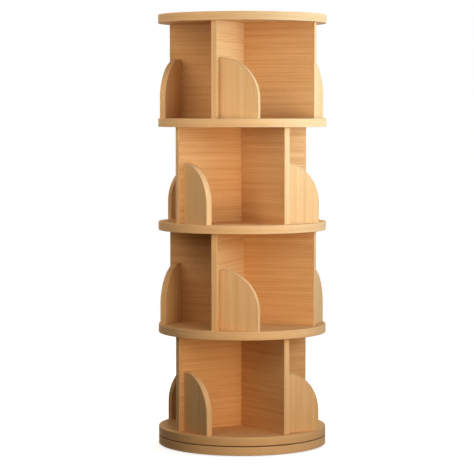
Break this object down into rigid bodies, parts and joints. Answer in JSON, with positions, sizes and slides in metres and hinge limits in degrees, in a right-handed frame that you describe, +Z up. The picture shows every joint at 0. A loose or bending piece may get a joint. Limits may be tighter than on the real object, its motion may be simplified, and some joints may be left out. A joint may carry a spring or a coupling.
{
  "type": "revolving bookcase",
  "caption": "Round revolving bookcase: stacked round shelves with crossed dividers and quarter-round book guards, turning on a ball-bearing turntable in a fixed base.",
  "frame": {"origin": "on the floor under the middle of the base, on the axis that the carousel turns about", "axes": "+Z up along the turning axis; the dividers of tiers 1 and 3, counted from the top, run along X and Y, and -Y is the front; the dividers of tiers 2 and 4 are turned 55 degrees about +Z"},
  "size_m": [0.5, 0.5, 1.28],
  "materials": {
    "round_board": "satin wood-grain laminate on board",
    "divider_board": "satin wood-grain laminate on board, grain along the board",
    "guard_board": "satin wood-grain laminate on board, grain upright",
    "edge_band": "satin wood-grain edge band with rounded edges",
    "dowel_wood": "bare beech",
    "cap_plastic": "matt wood-coloured cover",
    "screw_steel": "zinc-plated steel",
    "zinc": "die-cast zinc, dull",
    "turntable_aluminium": "satin aluminium",
    "ball_steel": "polished steel",
    "cage_plastic": "natural nylon",
    "foot_rubber": "matt rubber pad"
  },
  "bodies": {
    "base": {"base_board": "round_board", "base_board_edge_band": "edge_band", "foot_pads": "foot_rubber", "turntable_lower_ring": "turntable_aluminium", "turntable_lower_screws": "screw_steel"},
    "ball_cage": {"turntable_ball_cage": "cage_plastic", "turntable_balls": "ball_steel"},
    "carousel": {"bottom_shelf": "round_board", "bottom_shelf_edge_band": "edge_band", "cam_bolts": "screw_steel", "cam_caps": "cap_plastic", "cam_nuts": "zinc", "cross_dowels": "dowel_wood", "divider_dowels": "dowel_wood", "divider_edge_bands": "edge_band", "dropping_divider_screws": "screw_steel", "guard_dowels": "dowel_wood", "guard_edge_bands": "edge_band", "guard_screws": "screw_steel", "rising_divider_screws": "screw_steel", "screw_caps": "cap_plastic", "shelf_1": "round_board", "shelf_1_edge_band": "edge_band", "shelf_2": "round_board", "shelf_2_edge_band": "edge_band", "shelf_3": "round_board", "shelf_3_edge_band": "edge_band", "tier_1_front_divider": "divider_board", "tier_1_front_guard": "guard_board", "tier_1_left_guard": "guard_board", "tier_1_long_divider": "divider_board", "tier_1_rear_divider": "divider_board", "tier_1_rear_guard": "guard_board", "tier_1_right_guard": "guard_board", "tier_2_front_divider": "divider_board", "tier_2_front_guard": "guard_board", "tier_2_left_guard": "guard_board", "tier_2_long_divider": "divider_board", "tier_2_rear_divider": "divider_board", "tier_2_rear_guard": "guard_board", "tier_2_right_guard": "guard_board", "tier_3_front_divider": "divider_board", "tier_3_front_guard": "guard_board", "tier_3_left_guard": "guard_board", "tier_3_long_divider": "divider_board", "tier_3_rear_divider": "divider_board", "tier_3_rear_guard": "guard_board", "tier_3_right_guard": "guard_board", "tier_4_front_divider": "divider_board", "tier_4_front_guard": "guard_board", "tier_4_left_guard": "guard_board", "tier_4_long_divider": "divider_board", "tier_4_rear_divider": "divider_board", "tier_4_rear_guard": "guard_board", "tier_4_right_guard": "guard_board", "top_board": "round_board", "top_board_edge_band": "edge_band", "turntable_upper_ring": "turntable_aluminium", "turntable_upper_screws": "screw_steel"}
  },
  "joints": [
    {"name": "carousel_spin", "type": "hinge", "parent": "base", "child": "carousel", "pos_m": [0, 0, 0.0265], "axis": [0, 0, 1], "continuous": true},
    {"name": "ball_cage_orbit", "type": "hinge", "parent": "base", "child": "ball_cage", "pos_m": [0, 0, 0.0265], "axis": [0, 0, 1], "continuous": true}
  ],
  "couplings": [
    {"joint": "ball_cage_orbit", "follows": "carousel_spin", "ratio": 0.50893}
  ]
}
